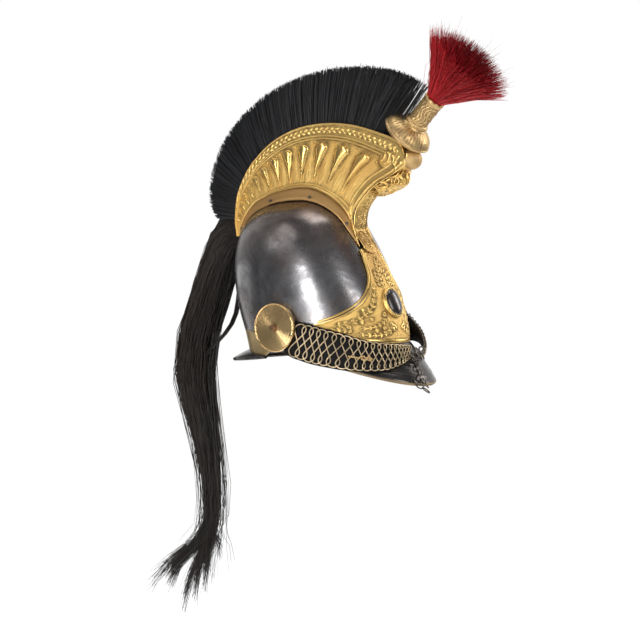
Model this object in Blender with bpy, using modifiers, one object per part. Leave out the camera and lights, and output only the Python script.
"""A French heavy-cavalry helmet: a steel skull and peak, gilt brass fittings, a horsehair
crest with a long mane, a red tuft in a brass holder and a brass-linked chin strap.

The helmet faces +X and +Z is up. The origin is the inside of the crown, where a head
carries it. All lengths are in metres and all angles in degrees.
"""
import math

import bmesh
import bpy
from mathutils import Matrix, Vector

# Sheet metal and the gap kept between neighbours
STEEL = 0.0015
BRASS = 0.0012
LEATHER = 0.002
GAP = 0.0003

# Skull
SKULL_WIDTH = 0.174
SKULL_FRONT = 0.121
SKULL_REAR = 0.116
SKULL_MIDDLE = -0.008
NAPE_DEPTH = 0.163
BROW_DEPTH = 0.180
SKULL_SEGMENTS = 32

# Nape band, neck guard and peak
BAND_HEIGHT = 0.028
BAND_INSET = 0.0018
BAND_TUCK = 0.006
GUARD_LENGTH = 0.030
GUARD_DROP = 0.013
PEAK_FRONT = 0.162
PEAK_HALF_WIDTH = SKULL_WIDTH / 2 + 0.002
PEAK_DROP = 0.044
PEAK_END_ANGLE = 77.0
PEAK_EAR_DROP = 0.004
PEAK_EDGING_WIDTH = 0.004
PEAK_EDGING_WALL = 0.0009

# Crest
CREST_FRONT = 0.137
CREST_OVERHANG = 0.006
CREST_TOP = 0.089
CREST_TAIL = 0.054
CREST_HALF = 0.0135
FLANGE_HALF = 0.028
FOOT_RISE = 0.012
GADROONS = 13
GADROON_FIRST = 9.05
GADROON_SHRINK = 0.92
GADROON_HEIGHT = 0.0050
RIM_HEIGHT = 0.0016
STRIP_ARCH = 0.0025
TONGUE_LENGTH = 0.033

# Frontal plate and medallion
PLATE_COLUMNS = 14
PLATE_BEAD_RADIUS = 0.0014
BEAD_START = 0.385
BEAD_END_ANGLE = 62.0
MEDALLION_DEPTH = 0.133
MEDALLION_HEIGHT = 0.034
MEDALLION_WIDTH = 0.029
MEDALLION_DOME = 0.005
SETTING_WIDTH = 0.0028

# Mask on the front of the crest
MASK_HEIGHT = 0.052
MASK_WIDTH = 0.044
MASK_DEPTH = 0.012
MASK_TILT = 60.0
MASK_PLACE = 0.40

# Tuft holder, the rounded socket below it and the tuft
SOCKET_X = 0.1415
SOCKET_Z = 0.0438
SOCKET_TILT = 12.0
SOCKET_HEIGHT = 0.019
SOCKET_WIDTH = 0.025
SOCKET_DEPTH = 0.010
HOLDER_X = 0.131
HOLDER_Z = 0.074
HOLDER_TILT = 44.0
BALL_RADIUS = 0.031
BALL_DOME = 0.017
BALL_DISH = 0.009
TUBE_RADIUS = 0.012
TUBE_LENGTH = 0.040
STEM_RADIUS = 0.0045
STEM_LENGTH = 0.034
STEM_FOOT = 0.0119
TUFT_LENGTH = 0.088
TUFT_TILT = 48.0
TUFT_SPREAD = 39.0
TUFT_SIDE_SPREAD = 28.0

# Brush and mane
BRUSH_LENGTH = 0.080
BRUSH_HALF = 0.0145
BRUSH_ROOT = 0.005
MANE_LENGTH = 0.520
MANE_HALF = 0.030

# Rosettes, chin strap and chain
ROSETTE_RADIUS = 0.030
ROSETTE_X = -0.001
ROSETTE_DEPTH = 0.161
ROSETTE_OUT = SKULL_WIDTH / 2 + 0.0038
ROSETTE_THICKNESS = 0.0060
SCREW_RADIUS = 0.0045
CHAIN_THICKNESS = 0.003
CHAIN_MARGIN = 0.0025
STRAP_FRONT = 0.139
STRAP_SIDE = SKULL_WIDTH / 2 - 0.001
STRAP_BULGE = 0.011
STRAP_FREE_ANGLE = 71.0
STRAP_LIFT = 0.0065
CLASP_WIDTH = 0.016
CLASP_HEIGHT = 0.011
CLASP_THICKNESS = 0.004
RING_RADIUS = 0.0045
RING_WIRE = 0.0008
RIVET_RADIUS = 0.0022

# Crest rows that carry a rivet on the flange
RIVET_ROWS = (0.9, 4.0, 7.0, 9.9)

# The skull's sections from crown to edge: depth, back reach, front reach and half width,
# each as a share of the size that it follows
SKULL_SECTIONS = (
    (0.00, 0.069, -0.066, 0.000),
    (0.02, 0.360, 0.033, 0.170),
    (0.05, 0.550, 0.149, 0.310),
    (0.10, 0.710, 0.289, 0.505),
    (0.17, 0.836, 0.417, 0.680),
    (0.27, 0.940, 0.515, 0.816),
    (0.40, 0.990, 0.632, 0.920),
    (0.55, 1.000, 0.757, 0.980),
    (0.70, 0.978, 0.868, 1.000),
    (0.85, 0.927, 0.952, 0.992),
    (1.00, 0.845, 1.000, 0.966),
)

# The crest from its rear tip to its front: top edge x and z, angle of the foot moulding on
# the skull, its rise and half width, angle of the flange's edge and its half width
CREST_ROWS = (
    (-0.992, -0.963, 170.5, 0.50, 0.52, 171.0, 0.61),
    (-1.000, -0.556, 162.5, 0.60, 0.57, 164.0, 0.75),
    (-0.975, -0.037, 153.0, 0.75, 0.64, 156.5, 0.89),
    (-0.893, 0.247, 142.0, 0.95, 0.68, 145.5, 1.00),
    (-0.746, 0.506, 127.5, 1.00, 0.68, 129.5, 1.00),
    (-0.508, 0.764, 113.5, 1.00, 0.68, 115.0, 1.00),
    (-0.213, 0.933, 98.5, 1.00, 0.68, 98.5, 1.00),
    (0.102, 1.000, 82.5, 0.95, 0.68, 81.0, 1.00),
    (0.409, 0.978, 65.0, 0.85, 0.68, 60.5, 0.96),
    (0.708, 0.865, 48.0, 0.70, 0.64, 39.5, 0.89),
    (0.927, 0.742, 36.0, 0.50, 0.59, 22.5, 0.79),
    (1.000, 0.562, 24.5, 0.30, 0.52, 5.5, 0.61),
)

# The crest's front edge between top and foot: share along the straight line, share aside
FRONT_EDGE = (
    (0.000, 0.000),
    (0.073, 0.039),
    (0.265, -0.008),
    (0.468, -0.092),
    (0.649, -0.125),
    (0.820, -0.119),
    (0.945, -0.059),
    (1.000, 0.000),
)

# Down a crest side: share of the way from top edge to foot, rim relief, gadroon relief
CREST_LEVELS = (
    (0.00, 0.0, 0.00),
    (0.05, 1.0, 0.00),
    (0.18, 1.0, 0.00),
    (0.25, 0.0, 0.10),
    (0.36, 0.0, 1.00),
    (0.55, 0.0, 0.75),
    (0.76, 0.0, 0.50),
    (0.92, 0.0, 0.25),
    (1.00, 1.0, 0.00),
)

# The frontal plate's rear edge from the crest down to the chin strap: angle round the
# skull and depth as a share of the brow's depth
PLATE_EDGE = (
    (8.5, 0.352),
    (13.8, 0.374),
    (14.5, 0.425),
    (15.7, 0.510),
    (17.6, 0.575),
    (23.0, 0.645),
    (31.0, 0.715),
    (40.0, 0.770),
    (50.0, 0.820),
    (60.5, 0.865),
    (67.0, 0.890),
    (69.0, 0.940),
    (69.0, 1.000),
)

# The brush: crest row, hair length as a share and the angle of its lean
BRUSH_ROWS = (
    (1.0, 0.41, 178.0),
    (1.4, 0.56, 170.0),
    (2.0, 0.66, 153.0),
    (3.0, 0.72, 135.0),
    (4.0, 0.76, 117.0),
    (5.0, 0.78, 103.0),
    (6.0, 0.80, 94.0),
    (7.0, 0.86, 84.0),
    (8.0, 0.93, 72.0),
    (8.5, 0.98, 62.0),
    (8.9, 1.00, 52.0),
)

# The mane: share of its length below the root, sweep behind the root as a share of the
# length, and half width
MANE_ROWS = (
    (0.000, 0.010, 0.38),
    (0.001, 0.030, 0.44),
    (0.020, 0.058, 0.64),
    (0.070, 0.076, 0.86),
    (0.130, 0.092, 1.00),
    (0.190, 0.112, 1.02),
    (0.250, 0.138, 0.96),
    (0.310, 0.151, 0.93),
    (0.370, 0.151, 0.95),
    (0.430, 0.143, 0.89),
    (0.510, 0.130, 0.68),
    (0.590, 0.112, 0.52),
    (0.680, 0.104, 0.42),
    (0.760, 0.106, 0.46),
    (0.815, 0.116, 0.44),
)

# The loose locks at the mane's end: start x and depth, tip x and depth as shares of the
# mane's length, sideways shift and thickness as shares of its half width
MANE_LOCKS = (
    (0.132, 0.72, 0.292, 0.965, -0.20, 0.20),
    (0.126, 0.74, 0.256, 0.948, 0.25, 0.22),
    (0.116, 0.74, 0.204, 0.952, -0.30, 0.22),
    (0.108, 0.75, 0.202, 1.000, 0.10, 0.22),
    (0.096, 0.75, 0.150, 0.955, 0.30, 0.20),
    (0.084, 0.75, 0.076, 0.850, -0.10, 0.20),
)

# The chin strap from rosette to clasp: angle round the brow, top depth and bottom depth as
# shares of the brow's depth
STRAP_ROWS = (
    (83.0, 0.835, 1.075),
    (76.0, 0.850, 1.100),
    (68.0, 0.868, 1.130),
    (60.0, 0.895, 1.150),
    (50.0, 0.925, 1.170),
    (40.0, 0.960, 1.175),
    (30.0, 0.980, 1.170),
    (20.0, 0.992, 1.145),
    (11.0, 1.000, 1.115),
    (3.0, 1.010, 1.085),
)
STRAP_LEFT_ROWS = (
    (83.0, 0.835, 1.075),
    (76.0, 0.810, 1.060),
    (68.0, 0.795, 1.040),
    (60.0, 0.810, 1.020),
    (50.0, 0.875, 1.010),
    (40.0, 0.930, 1.020),
    (30.0, 0.990, 1.050),
    (20.0, 1.035, 1.080),
    (11.0, 1.060, 1.100),
    (3.0, 1.075, 1.115),
)

# The little rings on the peak below the clasp: angle round the brow and share of the way
# from the skull to the rim
RING_PATH = (
    (-2.0, 0.44),
    (-3.5, 0.62),
    (-4.5, 0.72),
    (-6.0, 0.83),
    (-7.0, 0.94),
    (-7.0, 1.04),
    (-6.5, 1.12),
)


def blend(rows, place):
    """Read a table smoothly at a place counted in rows."""
    place = min(max(place, 0.0), len(rows) - 1.0)
    first = min(int(place), len(rows) - 2)
    part = place - first
    before = rows[max(first - 1, 0)]
    here = rows[first]
    after = rows[first + 1]
    beyond = rows[min(first + 2, len(rows) - 1)]
    values = []
    for a, b, c, d in zip(before, here, after, beyond):
        slope = c - a
        bend = 2 * a - 5 * b + 4 * c - d
        twist = 3 * b - a - 3 * c + d
        values.append(b + 0.5 * part * (slope + part * (bend + part * twist)))
    return values


def place_of(rows, value, column=0):
    """The place, counted in rows, where a rising column reaches a value."""
    low = 0.0
    high = len(rows) - 1.0
    for _ in range(30):
        middle = (low + high) / 2
        if blend(rows, middle)[column] < value:
            low = middle
        else:
            high = middle
    return (low + high) / 2


def skull_slope(x):
    """How deep the skull's edge lies at x: the edge drops from the nape to the brow."""
    share = (x + SKULL_REAR) / (SKULL_REAR + SKULL_FRONT)
    return NAPE_DEPTH + (BROW_DEPTH - NAPE_DEPTH) * share


def skull_semi(place, x_side):
    """Half axis of the skull's oval, forward or back from its widest line."""
    _, rear, front, _ = blend(SKULL_SECTIONS, place)
    if x_side >= 0:
        return front * SKULL_FRONT - SKULL_MIDDLE
    return rear * SKULL_REAR + SKULL_MIDDLE


def skull_bare(place, angle):
    """A point of the skull's outer face; the angle runs from +X towards +Y."""
    depth, _, _, width = blend(SKULL_SECTIONS, place)
    semi = skull_semi(place, math.cos(angle))
    x = SKULL_MIDDLE + semi * math.cos(angle)
    y = width * SKULL_WIDTH / 2 * math.sin(angle)
    return Vector((x, y, STEEL - depth * (STEEL + skull_slope(x))))


def skull_normal(place, angle):
    step = 0.01
    down = skull_bare(place + step, angle) - skull_bare(place - step, angle)
    round_ = skull_bare(place, angle + step) - skull_bare(place, angle - step)
    return down.cross(round_).normalized()


def on_skull(place, angle, lift=0.0):
    return skull_bare(place, angle) + skull_normal(place, angle) * lift


def in_skull(point):
    slope = STEEL + skull_slope(point.x)
    depth = (STEEL - point.z) / slope
    if depth <= 0:
        return False
    place = place_of(SKULL_SECTIONS, min(depth, 1.0))
    semi = skull_semi(place, point.x - SKULL_MIDDLE)
    width = blend(SKULL_SECTIONS, place)[3] * SKULL_WIDTH / 2
    across = (point.x - SKULL_MIDDLE) / max(semi, GAP)
    return across ** 2 + (point.y / max(width, GAP)) ** 2 < 1


def arch_centre(y):
    return Vector((SKULL_MIDDLE, y, -0.39 * BROW_DEPTH))


def arch_direction(angle):
    return Vector((math.cos(math.radians(angle)), 0, math.sin(math.radians(angle))))


def skull_arch(angle, y, lift=0.0):
    """The skull's face in a plane of constant y, by the angle seen from inside."""
    start = arch_centre(y)
    way = arch_direction(angle)
    low = 0.0
    high = 2 * (SKULL_FRONT + SKULL_REAR)
    for _ in range(32):
        middle = (low + high) / 2
        if in_skull(start + way * middle):
            low = middle
        else:
            high = middle
    return start + way * (low + lift)


def collection(name):
    made = bpy.data.collections.new(name)
    bpy.context.scene.collection.children.link(made)
    return made


def material(name, colour, metallic, roughness):
    made = bpy.data.materials.new(name)
    made.use_nodes = True
    shader = made.node_tree.nodes["Principled BSDF"]
    shader.inputs["Base Color"].default_value = (*colour, 1.0)
    shader.inputs["Metallic"].default_value = metallic
    shader.inputs["Roughness"].default_value = roughness
    return made


STEEL_FINISH = ((0.16, 0.15, 0.15), 1.0, 0.32)
GILT_FINISH = ((0.80, 0.55, 0.20), 1.0, 0.30)
DARK_BRASS_FINISH = ((0.28, 0.20, 0.11), 1.0, 0.45)
HORSEHAIR_FINISH = ((0.02, 0.02, 0.02), 0.0, 0.45)
MANE_FINISH = ((0.035, 0.022, 0.015), 0.0, 0.5)
RED_HAIR_FINISH = ((0.45, 0.01, 0.015), 0.0, 0.6)
LEATHER_FINISH = ((0.015, 0.013, 0.012), 0.0, 0.55)


def add_object(name, mesh, finish):
    made = bpy.data.objects.new(name, mesh)
    mesh.materials.append(material(name, *finish))
    HELMET.objects.link(made)
    return made


def add_mesh(name, corners, faces, finish, outward=True):
    mesh = bpy.data.meshes.new(name)
    mesh.from_pydata([tuple(c) for c in corners], [], faces)
    if outward:
        shape = bmesh.new()
        shape.from_mesh(mesh)
        bmesh.ops.recalc_face_normals(shape, faces=shape.faces)
        shape.to_mesh(mesh)
        shape.free()
    mesh.shade_smooth()
    mesh.set_sharp_from_angle(angle=math.radians(35))
    return add_object(name, mesh, finish)


def grid_faces(rows, columns, closed, flip):
    faces = []
    across = columns if closed else columns - 1
    for row in range(rows - 1):
        for column in range(across):
            here = row * columns + column
            side = row * columns + (column + 1) % columns
            face = (here, side, side + columns, here + columns)
            faces.append(face[::-1] if flip else face)
    return faces


def loft(name, rings, finish):
    """A solid skinned over closed rings, with a fan at each end."""
    count = len(rings[0])
    corners = [point for ring in rings for point in ring]
    faces = grid_faces(len(rings), count, True, False)
    for ring_number in (0, len(rings) - 1):
        ring = rings[ring_number]
        centre = len(corners)
        corners.append(sum((Vector(p) for p in ring), Vector()) / count)
        first = ring_number * count
        for n in range(count):
            face = (first + n, first + (n + 1) % count, centre)
            faces.append(face if ring_number else face[::-1])
    return add_mesh(name, corners, faces, finish)


def sheet(name, rows, thickness, finish, flip=False, closed=False):
    """A wall of sheet metal or leather behind an outer face given by rows of points."""
    corners = [point for row in rows for point in row]
    faces = grid_faces(len(rows), len(rows[0]), closed, flip)
    made = add_mesh(name, corners, faces, finish, outward=False)
    wall = made.modifiers.new("wall", "SOLIDIFY")
    wall.thickness = thickness
    wall.offset = -1.0
    return made


def turned(name, profile, steps, finish, ring=False):
    """A turned solid: radius and height pairs from the top down, spun round local Z."""
    mesh = bpy.data.meshes.new(name)
    edges = [(n, n + 1) for n in range(len(profile) - 1)]
    if ring:
        edges.append((len(profile) - 1, 0))
    mesh.from_pydata([(radius, 0, height) for radius, height in profile], edges, [])
    made = add_object(name, mesh, finish)
    spin = made.modifiers.new("turning", "SCREW")
    spin.steps = steps
    spin.render_steps = steps
    spin.use_merge_vertices = True
    spin.merge_threshold = 0.00001
    return made


def wire(name, points, radius, finish, sides=2, closed=False):
    curve = bpy.data.curves.new(name, "CURVE")
    curve.dimensions = "3D"
    curve.bevel_depth = radius
    curve.bevel_resolution = sides
    curve.use_fill_caps = True
    line = curve.splines.new("POLY")
    line.points.add(len(points) - 1)
    for spot, point in zip(line.points, points):
        spot.co = (*point, 1.0)
    line.use_cyclic_u = closed
    return add_object(name, curve, finish)


def boolean(target, tool, operation):
    cut = target.modifiers.new(operation.lower(), "BOOLEAN")
    cut.operation = operation
    cut.solver = "EXACT"
    cut.object = tool
    if tool.name in HELMET.objects:
        HELMET.objects.unlink(tool)
    if tool.name not in CUTTERS.objects:
        CUTTERS.objects.link(tool)
    tool.hide_render = True
    tool.display_type = "WIRE"


def side_name(side):
    return "right" if side < 0 else "left"


for old in list(bpy.data.objects):
    bpy.data.objects.remove(old)
HELMET = collection("cuirassier_helmet")
CUTTERS = collection("cutters")


# The steel skull: one bowl raised from sheet

def build_skull():
    segments = SKULL_SEGMENTS
    corners = [Vector((SKULL_MIDDLE, 0, STEEL))]
    faces = []
    last = len(SKULL_SECTIONS) - 1
    for level in range(1, last + 1):
        for n in range(segments):
            corners.append(skull_bare(level, math.tau * n / segments))
    for n in range(segments):
        faces.append((0, 1 + n, 1 + (n + 1) % segments))
    for level in range(last - 1):
        for n in range(segments):
            here = 1 + level * segments + n
            side = 1 + level * segments + (n + 1) % segments
            faces.append((here, here + segments, side + segments, side))
    made = add_mesh("skull", corners, faces, STEEL_FINISH, outward=False)
    wall = made.modifiers.new("wall", "SOLIDIFY")
    wall.thickness = STEEL
    wall.offset = -1.0


# The gilt frontal plate: the skull's own form lifted off it, drawn row by row to its edge

def plate_edge(inset):
    """The plate's rear edge as angle and depth share, moved into the plate by the inset."""
    round_ = SKULL_WIDTH * 0.55
    points = []
    for n in range(2 * len(PLATE_EDGE) - 1):
        here = Vector(blend(PLATE_EDGE, n / 2))
        way = Vector(blend(PLATE_EDGE, n / 2 + 0.1)) - Vector(blend(PLATE_EDGE, n / 2 - 0.1))
        flat = Vector((math.radians(way.x) * round_, way.y * BROW_DEPTH)).normalized()
        angle = here.x - math.degrees(flat.y * inset / round_)
        points.append((angle, here.y + flat.x * inset / BROW_DEPTH))
    return points


def build_plate():
    lift = 1.9 * BRASS
    rows = []
    for angle, share in plate_edge(2 * (PLATE_BEAD_RADIUS + GAP))[::2]:
        half = math.radians(angle)
        place = place_of(SKULL_SECTIONS, share)
        columns = [2 * k / PLATE_COLUMNS - 1 for k in range(PLATE_COLUMNS + 1)]
        rows.append([on_skull(place, half * column, lift) for column in columns])
    sheet("frontal_plate", rows, BRASS, GILT_FINISH, flip=True)


def build_plate_bead(side):
    radius = PLATE_BEAD_RADIUS
    points = []
    for angle, share in plate_edge(radius):
        if share > BEAD_START and angle < BEAD_END_ANGLE:
            place = place_of(SKULL_SECTIONS, share)
            points.append(on_skull(place, math.radians(angle) * side, radius + 2 * GAP))
    wire("plate_bead_" + side_name(side), points, radius, GILT_FINISH, sides=1)


def brow_frame(depth, lift):
    """Centre, outward, up and across on the front of the plate at a depth."""
    place = place_of(SKULL_SECTIONS, depth / BROW_DEPTH)
    centre = on_skull(place, 0.0, lift)
    outward = skull_normal(place, 0.0)
    across = Vector((0, 1, 0))
    up = outward.cross(across).normalized()
    if up.z < 0:
        up = -up
    return centre, outward, up, across


def build_medallion():
    lift = 2.3 * BRASS + 2 * GAP
    centre, outward, up, across = brow_frame(MEDALLION_DEPTH, lift)
    segments = 20

    def oval(scale, rise, sag):
        ring = []
        for n in range(segments):
            turn = math.tau * n / segments
            wide = math.cos(turn) * MEDALLION_WIDTH / 2 * scale
            high = math.sin(turn) * MEDALLION_HEIGHT / 2 * scale
            drop = sag * wide ** 2 / SKULL_WIDTH
            ring.append(centre + across * wide + up * high + outward * (rise - drop))
        return ring

    curve = 1.2
    dome = [oval(0.98, 0, curve), oval(1.0, 0.0012, curve)]
    dome += [oval(math.cos(turn), 0.0012 + MEDALLION_DOME * math.sin(turn), curve)
             for turn in (0.5, 0.95, 1.3)]
    loft("medallion", dome, STEEL_FINISH)
    inner = 1 + 2 * GAP / MEDALLION_WIDTH + 0.02
    outer = inner + 2 * SETTING_WIDTH / MEDALLION_WIDTH
    rings = [oval(inner, 0, curve), oval(outer, 0, curve), oval(outer, 0.0016, curve),
             oval((inner + outer) / 2, 0.0030, curve), oval(inner, 0.0022, curve)]
    corners = [point for ring in rings for point in ring]
    faces = grid_faces(len(rings), segments, True, False)
    last = (len(rings) - 1) * segments
    for n in range(segments):
        side = (n + 1) % segments
        faces.append((last + n, last + side, side, n))
    add_mesh("medallion_setting", corners, faces, GILT_FINISH)


# The crest: two pressed sides with gadroons, and a front strip with a tongue

def crest_tables():
    """Top edge, foot moulding and flange edge as tables of points, for the side y > 0."""
    rear = SKULL_REAR + CREST_OVERHANG
    top = []
    foot = []
    flange = []
    for x, z, foot_angle, rise, foot_half, flange_angle, flange_half in CREST_ROWS:
        top_x = x * (CREST_FRONT if x > 0 else rear)
        top_z = z * (CREST_TOP if z > 0 else CREST_TAIL)
        top.append((top_x, CREST_HALF, top_z))
        foot.append(tuple(skull_arch(foot_angle, foot_half * FLANGE_HALF, rise * FOOT_RISE)))
        flange.append(tuple(skull_arch(flange_angle, flange_half * FLANGE_HALF, GAP + BRASS)))
    return top, foot, flange


def edge_share(share):
    """The front edge's own bend at a share of the way down."""
    place = place_of(FRONT_EDGE, share)
    return blend(FRONT_EDGE, place)


def crest_point(tables, row, share):
    """A point of the crest's bare side on the way from top edge to foot."""
    top = Vector(blend(tables[0], row))
    foot = Vector(blend(tables[1], row))
    along, aside = edge_share(share)
    weight = min(max((row - 4.0) / 7.0, 0.0), 1.0) ** 1.5
    aside *= weight
    dx = foot.x - top.x
    dz = foot.z - top.z
    x = top.x + dx * along - dz * aside
    z = top.z + dz * along + dx * aside
    y = top.y + (foot.y - top.y) * along ** 3
    return Vector((x, y, z))


def gadroon_places():
    places = [GADROON_FIRST]
    step = 1.0
    while len(places) < GADROONS:
        places.append(places[-1] - step)
        step *= GADROON_SHRINK
    return places


def crest_columns():
    """Rows of the crest table where the side has a column, and each one's gadroon share."""
    centres = gadroon_places()
    columns = [(centre, 1.0) for centre in centres]
    columns += [((a + b) / 2, 0.0) for a, b in zip(centres, centres[1:])]
    end = len(CREST_ROWS) - 1.0
    columns += [(end, 0.0), (end - 0.7, 0.0), (centres[0] + 0.5, 0.0)]
    last = centres[-1]
    columns += [(last * share, 0.0) for share in (0.0, 0.5)]
    return sorted(columns)


def build_crest_side(side):
    tables = crest_tables()
    rows = []
    for row, gadroon in crest_columns():
        column = []
        size = 0.35 + 0.65 * row / GADROON_FIRST
        for share, rim, swell in CREST_LEVELS:
            point = crest_point(tables, row, share)
            relief = rim * RIM_HEIGHT + swell * gadroon * GADROON_HEIGHT * min(size, 1.0)
            point.y += relief * min(row, 1.0)
            column.append(Vector((point.x, point.y * side, point.z)))
        flange = Vector(blend(tables[2], row))
        column.append(Vector((flange.x, flange.y * side, flange.z)))
        rows.append(column)
    sheet("crest_" + side_name(side), rows, BRASS, GILT_FINISH, flip=side > 0)


def strip_path():
    """The middle line of the crest's front strip: down the crest, then its tongue."""
    tables = crest_tables()
    end = len(CREST_ROWS) - 1.0
    path = [crest_point(tables, end, level[0]) for level in CREST_LEVELS]
    foot_angle = CREST_ROWS[-1][2]
    start = skull_arch(foot_angle, 0.0, GAP + BRASS)
    tongue = [path[-1].lerp(start, 0.6)]
    angle = foot_angle
    run = 0.0
    previous = start
    while run < TONGUE_LENGTH:
        angle -= 4.0
        point = skull_arch(angle, 0.0, GAP + BRASS)
        run += (point - previous).length
        tongue.append(point)
        previous = point
    return [Vector((p.x, 0, p.z)) for p in path + tongue], len(path)


def strip_stations():
    """Middle point, outward way and share of the crest's arch at every station."""
    points, on_crest = strip_path()
    stations = []
    for n, point in enumerate(points):
        ahead = points[min(n + 1, len(points) - 1)] - points[max(n - 1, 0)]
        outward = Vector((-ahead.z, 0, ahead.x)).normalized()
        if outward.x < 0:
            outward = -outward
        if n < on_crest:
            lift = 4 * GAP + BRASS
            arch = STRIP_ARCH
        else:
            over_plate = min(max((n - len(points) + 5) / 3, 0.0), 1.0)
            lift = 2 * GAP + 2.1 * BRASS * over_plate
            arch = 0.0
        stations.append((point + outward * lift, outward, arch))
    return stations


def build_crest_front():
    half = CREST_HALF + GAP
    rows = []
    for point, outward, arch in strip_stations():
        row = []
        for share in (-1.0, -0.6, 0.0, 0.6, 1.0):
            rise = arch * (1 - share ** 2)
            if arch == 0.0:
                rise = -half ** 2 * share ** 2 / SKULL_WIDTH
            row.append(point + outward * rise + Vector((0, share * half, 0)))
        rows.append(row)
    sheet("crest_front", rows, BRASS, GILT_FINISH, flip=True)


def build_socket():
    """The rounded nose between strip, mask and dish, which carries the tuft holder."""
    tilt = math.radians(SOCKET_TILT)
    outward = Vector((math.cos(tilt), 0, -math.sin(tilt)))
    up = Vector((math.sin(tilt), 0, math.cos(tilt)))
    centre = Vector((SOCKET_X, 0, SOCKET_Z))
    rings = []
    for rise in (0.0, 0.35, 0.65, 0.86, 0.97):
        size = math.sqrt(1 - rise ** 2)
        ring = []
        for n in range(12):
            turn = math.tau * n / 12
            spot = Vector((0, math.cos(turn) * SOCKET_WIDTH / 2 * size, 0))
            ring.append(centre + spot + up * math.sin(turn) * SOCKET_HEIGHT / 2 * size
                        + outward * rise * SOCKET_DEPTH)
        rings.append(ring)
    loft("holder_socket", rings, GILT_FINISH)


# The mask: a calm woman's head with waved hair, on the front of the crest

def build_mask():
    tilt = math.radians(MASK_TILT)
    outward = Vector((math.cos(tilt), 0, -math.sin(tilt)))
    up = Vector((math.sin(tilt), 0, math.cos(tilt)))
    across = Vector((0, 1, 0))
    centre = crest_point(crest_tables(), len(CREST_ROWS) - 1.0, MASK_PLACE)
    centre.y = 0.0
    strip = [point + way * arch - centre for point, way, arch in strip_stations()]
    face = [strip[0].lerp(strip[0] * 2 - strip[1], 3.0)]
    for a, b in zip(strip, strip[1:]):
        face += [a.lerp(b, n / 6) for n in range(6)]

    def seat(high):
        """How far the strip stands out at a height on the mask."""
        near = [p for p in face if abs(p.dot(up)) < MASK_HEIGHT]
        reach = [p.dot(outward) - 1.2 * max(abs(p.dot(up) - high) - 0.0015, 0) for p in near]
        return max(reach) + 2 * GAP

    shape = bmesh.new()
    bmesh.ops.create_uvsphere(shape, u_segments=20, v_segments=13, radius=1.0)
    for corner in shape.verts:
        wide, back, high = corner.co
        deep = max(-back, 0.0)
        brow = math.exp(-((high - 0.18) / 0.16) ** 2) * 0.10
        nose = math.exp(-(wide / 0.16) ** 2 - ((high + 0.05) / 0.20) ** 2) * 0.30
        chin = math.exp(-(wide / 0.30) ** 2 - ((high + 0.62) / 0.18) ** 2) * 0.16
        eyes = math.exp(-((abs(wide) - 0.28) / 0.16) ** 2 - ((high - 0.02) / 0.12) ** 2) * 0.12
        swell = 1.0 + deep * (brow + nose + chin - eyes)
        hair = min(max((wide ** 2 + max(high, 0.0) ** 2 - 0.42) / 0.3, 0.0), 1.0)
        swell += hair * (0.10 + 0.05 * math.cos(16 * math.atan2(high, wide)))
        cap = math.exp(-((high - 0.80) / 0.30) ** 2 - (wide / 0.5) ** 2)
        rise = high * MASK_HEIGHT / 2 * (swell + cap * 0.12)
        fade = 1 - 0.45 * max(-high, 0.0)
        out = deep * fade * MASK_DEPTH * (swell + cap * 0.9) + 0.35 * MASK_DEPTH * cap * deep
        place = centre + across * wide * MASK_WIDTH / 2 * swell + up * rise
        corner.co = place + outward * (seat(rise) + out)
    bmesh.ops.remove_doubles(shape, verts=shape.verts, dist=0.0002)
    bmesh.ops.recalc_face_normals(shape, faces=shape.faces)
    mesh = bpy.data.meshes.new("mask")
    shape.to_mesh(mesh)
    shape.free()
    mesh.shade_smooth()
    add_object("mask", mesh, GILT_FINISH)


# The tuft holder, a turned ball and tube, and the red tuft in it

def holder_matrix():
    axis = Matrix.Rotation(math.radians(HOLDER_TILT), 4, "Y")
    return Matrix.Translation((HOLDER_X, 0, HOLDER_Z)) @ axis


def build_holder():
    top = BALL_DOME + TUBE_LENGTH
    rim = BALL_RADIUS
    tube = TUBE_RADIUS
    profile = [
        (0, top), (tube * 1.10, top), (tube * 1.10, top - 0.004), (tube, top - 0.006),
        (tube, BALL_DOME + 0.004), (tube * 1.14, BALL_DOME + 0.002), (tube * 1.10, BALL_DOME),
        (rim * 0.62, BALL_DOME * 0.86), (rim * 0.84, BALL_DOME * 0.60), (rim * 0.97, BALL_DOME * 0.26),
        (rim, 0), (rim * 0.94, -BALL_DISH * 0.22), (rim * 0.62, -BALL_DISH * 0.72),
        (rim * 0.30, -BALL_DISH), (STEM_RADIUS, -BALL_DISH), (STEM_RADIUS, 0.003 - BALL_DISH - STEM_LENGTH),
        (STEM_FOOT, 0.003 - BALL_DISH - STEM_LENGTH), (STEM_FOOT, -BALL_DISH - STEM_LENGTH),
        (0, -BALL_DISH - STEM_LENGTH),
    ]
    made = turned("tuft_holder", profile, 16, GILT_FINISH)
    made.matrix_world = holder_matrix()


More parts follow.
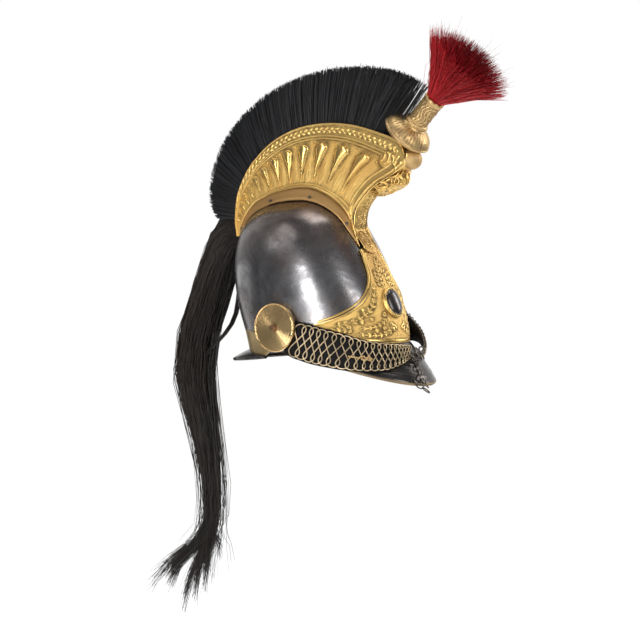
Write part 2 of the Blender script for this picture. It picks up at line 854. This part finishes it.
def build_tuft():
    start = BALL_DOME + TUBE_LENGTH + 2 * GAP
    locks = 14
    stations = (0.0, 0.12, 0.30, 0.52, 0.75)
    pivot = Matrix.Translation((0, 0, start))
    lean = Matrix.Rotation(math.radians(TUFT_TILT - HOLDER_TILT), 4, "Y")
    matrix = holder_matrix() @ pivot @ lean
    spread = math.tan(math.radians(TUFT_SPREAD))
    side_spread = math.tan(math.radians(TUFT_SIDE_SPREAD))
    rings = []
    for share in stations + (1.0,):
        ring = []
        for n in range(2 * locks):
            turn = math.pi * n / locks
            lobe = 1.0 if n % 2 else 0.86
            reach = share * TUFT_LENGTH
            if share == 1.0:
                reach *= 0.86 if n % 2 else 0.78
                lobe *= 0.96
            wide = TUBE_RADIUS * 0.8 + reach * spread * 0.80 * share ** 0.25
            deep = TUBE_RADIUS * 0.8 + reach * side_spread * 0.80 * share ** 0.25
            local = Vector((math.cos(turn) * wide * lobe, math.sin(turn) * deep * lobe, reach))
            ring.append((matrix if share else holder_matrix() @ pivot) @ local)
        rings.append(ring)
    crown = []
    for n in range(2 * locks):
        rim = rings[-1][n]
        middle = matrix @ Vector((0, 0, TUFT_LENGTH * 1.02))
        crown.append(rim.lerp(middle, 0.55))
    rings.append(crown)
    loft("tuft", rings, RED_HAIR_FINISH)


# The brush of black horsehair in the crest, and the mane behind it

def brush_row(place):
    row, length, lean = blend(BRUSH_ROWS, place)
    return row, length * BRUSH_LENGTH, math.radians(lean)


def build_brush():
    top = crest_tables()[0]
    stations = 36
    inside = CREST_HALF - BRASS - 2 * GAP
    rings = []
    for n in range(stations + 1):
        row, length, lean = brush_row((len(BRUSH_ROWS) - 1) * n / stations)
        edge = Vector(blend(top, row))
        way = Vector((math.cos(lean), 0, math.sin(lean)))
        strand = 1.0 if n % 2 else 0.955
        root = Vector((edge.x, 0, edge.z)) - way * BRUSH_ROOT
        rise = Vector((edge.x, 0, edge.z)) + way * 0.004
        half_way = root + way * (BRUSH_ROOT + length * 0.55)
        tip = root + way * (BRUSH_ROOT + length * strand)
        wide = BRUSH_HALF * (1.0 if n % 2 else 0.93)
        ring = []
        for point, half in ((root, inside), (rise, inside), (half_way, wide), (tip, wide * 0.55)):
            ring.append(point + Vector((0, half, 0)))
        ring.append(tip + way * 0.0015)
        for point, half in ((tip, wide * 0.55), (half_way, wide), (rise, inside), (root, inside)):
            ring.append(point - Vector((0, half, 0)))
        rings.append(ring)
    loft("brush", rings, HORSEHAIR_FINISH)


def mane_root():
    rear = SKULL_REAR + CREST_OVERHANG
    return Vector((-rear, 0, -CREST_TAIL * 0.84))


def tube_rings(path, halves, thin, lobes, sides):
    """Closed rings round a path in the XZ plane, with a lobed outline."""
    rings = []
    for n, (point, half) in enumerate(zip(path, halves)):
        ahead = path[min(n + 1, len(path) - 1)] - path[max(n - 1, 0)]
        along = ahead.normalized()
        flat = Vector((-along.z, 0, along.x))
        ring = []
        for k in range(sides):
            turn = math.tau * k / sides
            lobe = 1.0 if not lobes or k % 2 else 0.86
            spot = flat * math.cos(turn) * half * lobe
            spot += Vector((0, math.sin(turn) * half * thin * lobe, 0))
            ring.append(point + spot)
        rings.append(ring)
    return rings


def build_mane():
    root = mane_root()
    steps = 15
    path = []
    halves = []
    for n in range(steps + 1):
        depth, sweep, half = blend(MANE_ROWS, (len(MANE_ROWS) - 1) * n / steps)
        path.append(root + Vector((-sweep * MANE_LENGTH, 0, -depth * MANE_LENGTH)))
        halves.append(half * MANE_HALF)
    entry = [root + Vector((CREST_HALF * 0.71, 0, 0)), root + Vector((-CREST_HALF * 0.3, 0, 0))]
    inside = CREST_HALF - BRASS - 3 * GAP
    rings = tube_rings(entry + path[1:], [inside * 0.8, inside * 0.9] + halves[1:], 0.75, True, 12)
    mane = loft("mane", rings, MANE_FINISH)
    for number, (x0, z0, x1, z1, shift, thick) in enumerate(MANE_LOCKS):
        start = root + Vector((-x0 * MANE_LENGTH, shift * MANE_HALF * 0.5, -z0 * MANE_LENGTH))
        tip = root + Vector((-x1 * MANE_LENGTH, shift * MANE_HALF * 1.6, -z1 * MANE_LENGTH))
        bend = start + Vector((-0.01 * (x1 / x0), 0, -(z1 - z0) * MANE_LENGTH * 0.55))
        line = []
        widths = []
        for n in range(6):
            t = n / 5
            line.append(start * (1 - t) ** 2 + bend * 2 * t * (1 - t) + tip * t ** 2)
            widths.append(thick * MANE_HALF * (1.0 - 0.90 * t ** 1.5))
        lock = loft("lock_%d" % number, tube_rings(line, widths, 0.8, False, 6), MANE_FINISH)
        boolean(mane, lock, "UNION")


# Nape band, neck guard and peak

def band_point(angle, share):
    """A point of the nape band's outer face; the share runs from its top to its bottom."""
    last = len(SKULL_SECTIONS) - 1.0
    edge = skull_bare(last, angle)
    inset = BAND_INSET + BAND_TUCK * share
    inward = Vector((SKULL_MIDDLE, 0, edge.z)) - edge
    return edge + inward.normalized() * inset - Vector((0, 0, GAP + BAND_HEIGHT * share))


def build_band():
    start = math.radians(92)
    end = math.radians(268)
    steps = 20
    rows = []
    for share in (0.0, 0.5, 1.0):
        row = []
        for n in range(steps + 1):
            point = band_point(start + (end - start) * n / steps, share)
            row.append(point)
        rows.append(row)
    sheet("nape_band", rows, BRASS, DARK_BRASS_FINISH, flip=True)


def build_guard():
    start = math.radians(104)
    end = math.radians(256)
    steps = 20
    rows = []
    for share in (0.0, 0.5, 1.0):
        row = []
        for n in range(steps + 1):
            angle = start + (end - start) * n / steps
            fade = max(math.sin(math.pi * n / steps), 0.06) ** 0.6
            edge = band_point(angle, 1.0) - Vector((0, 0, GAP * 2))
            away = (edge - Vector((SKULL_MIDDLE, 0, edge.z))).normalized()
            reach = GUARD_LENGTH * fade * share
            drop = GUARD_DROP * fade * share
            row.append(edge + away * reach - Vector((0, 0, drop)))
        rows.append(row)
    sheet("neck_guard", rows, STEEL, STEEL_FINISH, flip=True)


def peak_bare(angle, share, lift=0.0):
    """A point of the peak's upper face; the share runs from the skull to the rim."""
    last = len(SKULL_SECTIONS) - 1.0
    inner = skull_bare(last, angle)
    across = (SKULL_WIDTH / 2 * SKULL_SECTIONS[-1][3])
    front = SKULL_FRONT + (PEAK_FRONT - SKULL_FRONT) * share
    wide = across + (PEAK_HALF_WIDTH - across) * share
    x = SKULL_MIDDLE + (front - SKULL_MIDDLE) * math.cos(angle)
    y = wide * math.sin(angle)
    drop = PEAK_DROP * max(math.cos(angle), 0.0) ** 0.8 + PEAK_EAR_DROP
    fall = 0.78 * share + 0.22 * share ** 2
    return Vector((x, y, inner.z - GAP - drop * fall + lift))


def peak_angles():
    return [math.radians(PEAK_END_ANGLE * (n / 12 - 1)) for n in range(25)]


def build_peak():
    rows = []
    for share in (0.0, 0.33, 0.67, 1.0):
        rows.append([peak_bare(angle, share) for angle in peak_angles()])
    sheet("peak", rows, STEEL, STEEL_FINISH, flip=True)


def peak_rim_frame(angle):
    """A point in the middle of the rim, the way outwards and the upper face's normal."""
    step = 0.01
    rim = peak_bare(angle, 1.0)
    outward = (rim - peak_bare(angle, 0.97)).normalized()
    along = (peak_bare(angle + step, 1.0) - peak_bare(angle - step, 1.0)).normalized()
    outward = (outward - along * outward.dot(along)).normalized()
    normal = outward.cross(along).normalized()
    if normal.z < 0:
        normal = -normal
    return rim - normal * STEEL / 2, outward, normal


def build_peak_edging():
    inner = STEEL / 2 + 2 * GAP
    outer = inner + PEAK_EDGING_WALL
    lip = PEAK_EDGING_WIDTH
    profile = [(-lip, outer), (GAP + PEAK_EDGING_WALL, outer), (GAP + PEAK_EDGING_WALL, -outer),
               (-lip, -outer), (-lip, -inner), (GAP, -inner), (GAP, inner), (-lip, inner)]
    rings = []
    for angle in peak_angles()[1:-1]:
        centre, outward, normal = peak_rim_frame(angle)
        rings.append([centre + outward * a + normal * b for a, b in profile])
    corners = [point for ring in rings for point in ring]
    faces = grid_faces(len(rings), len(profile), True, False)
    last = len(corners) - len(profile)
    quads = ((0, 1, 6, 7), (1, 2, 5, 6), (2, 3, 4, 5))
    faces += [tuple(q[::-1]) for q in quads]
    faces += [tuple(last + n for n in q) for q in quads]
    add_mesh("peak_edging", corners, faces, DARK_BRASS_FINISH)


# Rosettes and their screws, which hold the chin strap

def rosette_matrix(side):
    out = ROSETTE_OUT
    turn = Matrix.Rotation(math.radians(90 * -side), 4, "X")
    return Matrix.Translation((ROSETTE_X, out * side, -ROSETTE_DEPTH)) @ turn


def build_rosette(side):
    r = ROSETTE_RADIUS
    t = ROSETTE_THICKNESS
    profile = [(SCREW_RADIUS + GAP, t * 0.80), (r * 0.34, t * 0.95), (r * 0.40, t * 0.72), (r * 0.82, t * 0.55),
               (r * 0.90, t * 0.85), (r * 0.98, t * 0.60), (r, 0.0), (SCREW_RADIUS + GAP, 0.0)]
    made = turned("rosette_" + side_name(side), profile, 20, GILT_FINISH, ring=True)
    made.matrix_world = rosette_matrix(side)
    screw = turned("rosette_screw_" + side_name(side), [
        (0, t * 1.30), (SCREW_RADIUS * 0.7, t * 1.22), (SCREW_RADIUS, t * 0.95), (SCREW_RADIUS, 0),
        (0, 0)], 14, DARK_BRASS_FINISH)
    screw.matrix_world = rosette_matrix(side)


# The chin strap: leather with interlinked brass wire on it, hooked up over the peak

def strap_out(angle):
    """The level way from the middle of the head out to the strap."""
    return Vector((math.cos(angle) * STRAP_FRONT, math.sin(angle) * STRAP_SIDE, 0))


def strap_reach(angle, depth, side):
    """How far out the back of the strap lies at an angle and depth, clear of what is behind."""
    centre = Vector((SKULL_MIDDLE, 0, 0))
    reach = strap_out(angle).length
    if side > 0:
        rise = min(max((STRAP_FREE_ANGLE - math.degrees(angle)) / 14, 0.0), 1.0)
        reach += STRAP_BULGE * rise * rise * (3 - 2 * rise)
    else:
        reach += STRAP_LIFT * max(math.cos(angle), 0.0) ** 2
    place = place_of(SKULL_SECTIONS, min(depth / BROW_DEPTH, 1.0))
    way = strap_out(angle).normalized()
    wide = blend(SKULL_SECTIONS, place)[3] * SKULL_WIDTH / 2
    wall = 1 / math.hypot(way.x / skull_semi(place, 1.0), way.y / wide) + GAP
    if math.degrees(angle) < STRAP_FREE_ANGLE:
        wall += 2.0 * BRASS
    reach = max(reach, wall)
    for n in range(31 if math.degrees(angle) < PEAK_END_ANGLE + 2 else 0):
        rim = peak_bare(angle, n / 30)
        if rim.z >= -depth - STEEL:
            spot = Vector((rim.x, rim.y, 0)) - centre
            reach = max(reach, spot.length + STEEL + 2 * GAP)
    return reach


def strap_section(place, side, lift, trim):
    """Top and bottom of the strap's face, lifted off its back and trimmed at both edges."""
    angle, top, bottom = blend(STRAP_LEFT_ROWS if side > 0 else STRAP_ROWS, place)
    angle = math.radians(angle)
    way = strap_out(angle).normalized()
    points = []
    for depth in (top * BROW_DEPTH, bottom * BROW_DEPTH):
        spot = way * (strap_reach(angle, depth, side) + lift)
        points.append(Vector((SKULL_MIDDLE + spot.x, spot.y * side, -depth)))
    upper, lower = points
    edge = (lower - upper).normalized() * trim
    return upper + edge, lower - edge


def strap_rings(side, near, far, trim, first, last):
    """Closed sections of a band on the strap, counted in its half rows."""
    rings = []
    for n in range(first, last + 1):
        top_near, low_near = strap_section(n / 2, side, near, trim)
        top_far, low_far = strap_section(n / 2, side, far, trim)
        rings.append([top_near, top_far, low_far, low_near])
    return rings


def build_strap(side):
    last = 2 * len(STRAP_ROWS) - 2
    loft("strap_" + side_name(side), strap_rings(side, 0.0, LEATHER, 0.0, 0, last), LEATHER_FINISH)
    near = LEATHER + 3 * GAP
    rings = strap_rings(side, near, near + CHAIN_THICKNESS, CHAIN_MARGIN, 5, last - 1)
    rings = [ring[:1] + ring[:0:-1] for ring in rings]
    loft("strap_chain_" + side_name(side), rings, DARK_BRASS_FINISH)


# Small dome rivets along the crest's flanges and on the tongue

def dome(name, seat, outward, radius, finish, sides=6):
    aside = outward.orthogonal().normalized()
    other = outward.cross(aside)
    rings = []
    for rise, width in ((GAP, 1.0), (GAP + radius * 0.35, 0.9), (GAP + radius * 0.62, 0.45)):
        ring = []
        for n in range(sides):
            turn = math.tau * n / sides
            spot = aside * math.cos(turn) + other * math.sin(turn)
            ring.append(seat + spot * radius * width + outward * rise)
        rings.append(ring)
    loft(name, rings, finish)


def build_rivets(side):
    tables = crest_tables()
    for number, row in enumerate(RIVET_ROWS):
        points = []
        for near in (row - 0.2, row + 0.2):
            foot = crest_point(tables, near, 1.0)
            flange = Vector(blend(tables[2], near))
            points.append((foot, flange))
        foot = points[0][0].lerp(points[1][0], 0.5)
        flange = points[0][1].lerp(points[1][1], 0.5)
        along = points[1][1] - points[0][1]
        outward = (flange - foot).cross(along).normalized()
        if outward.y < 0:
            outward = -outward
        foot.y += RIM_HEIGHT * min(row, 1.0)
        seat = foot.lerp(flange, 0.62) + outward * 2 * GAP
        seat.y *= side
        outward.y *= side
        dome("flange_rivet_%s_%d" % (side_name(side), number + 1), seat, outward, RIVET_RADIUS, GILT_FINISH)


def build_tongue_rivet():
    point, outward, _ = strip_stations()[-2]
    dome("tongue_rivet", point + outward * GAP, outward, RIVET_RADIUS, GILT_FINISH)


# The clasp where both ends of the strap meet, and the little rings hanging from it

def clasp_centre():
    last = len(STRAP_ROWS) - 1.0
    ends = strap_section(last, -1, LEATHER, 0.0) + strap_section(last, 1, LEATHER, 0.0)
    centre = sum(ends, Vector()) / 4
    centre.x = max(point.x for point in ends) - 2 * GAP
    return centre


def build_clasp():
    centre = clasp_centre()
    rings = []
    for rise, size in ((0.0, 0.9), (0.3, 1.0), (0.7, 1.0), (1.0, 0.7)):
        ring = []
        for n in range(10):
            turn = math.tau * n / 10
            ring.append(centre + Vector((rise * CLASP_THICKNESS,
                                         math.cos(turn) * CLASP_WIDTH / 2 * size,
                                         math.sin(turn) * CLASP_HEIGHT / 2 * size)))
        rings.append(ring)
    loft("strap_clasp", rings, DARK_BRASS_FINISH)


def build_ring_chain():
    """A thick strand as wide as the rings, lying down the peak and over its rim."""
    rings = []
    count = 4 * (len(RING_PATH) - 1)
    for n in range(count + 1):
        angle, share = blend(RING_PATH, (len(RING_PATH) - 1) * n / count)
        angle = math.radians(angle)
        step = 0.02
        here = peak_bare(angle, share)
        down = (peak_bare(angle, share + step) - peak_bare(angle, share - step)).normalized()
        across = Vector((0, 1, 0))
        normal = down.cross(across)
        if normal.x < 0:
            normal = -normal
        lift = PEAK_EDGING_WALL + 4 * GAP
        wide = RING_RADIUS * (1.0 if n % 2 else 0.55)
        thick = RING_WIRE * (3.0 if n % 2 else 2.2)
        rings.append([here + across * math.cos(turn) * wide
                      + normal * (lift + thick / 2 * (1 + math.sin(turn)))
                      for turn in (math.tau * k / 6 for k in range(6))])
    loft("ring_chain", rings, DARK_BRASS_FINISH)


def build():
    build_skull()
    build_plate()
    build_medallion()
    build_crest_front()
    build_socket()
    build_mask()
    build_holder()
    build_tuft()
    build_brush()
    build_mane()
    build_band()
    build_guard()
    build_peak()
    build_peak_edging()
    build_tongue_rivet()
    build_clasp()
    build_ring_chain()
    for side in (-1, 1):
        build_rivets(side)
        build_plate_bead(side)
        build_crest_side(side)
        build_rosette(side)
        build_strap(side)


build()
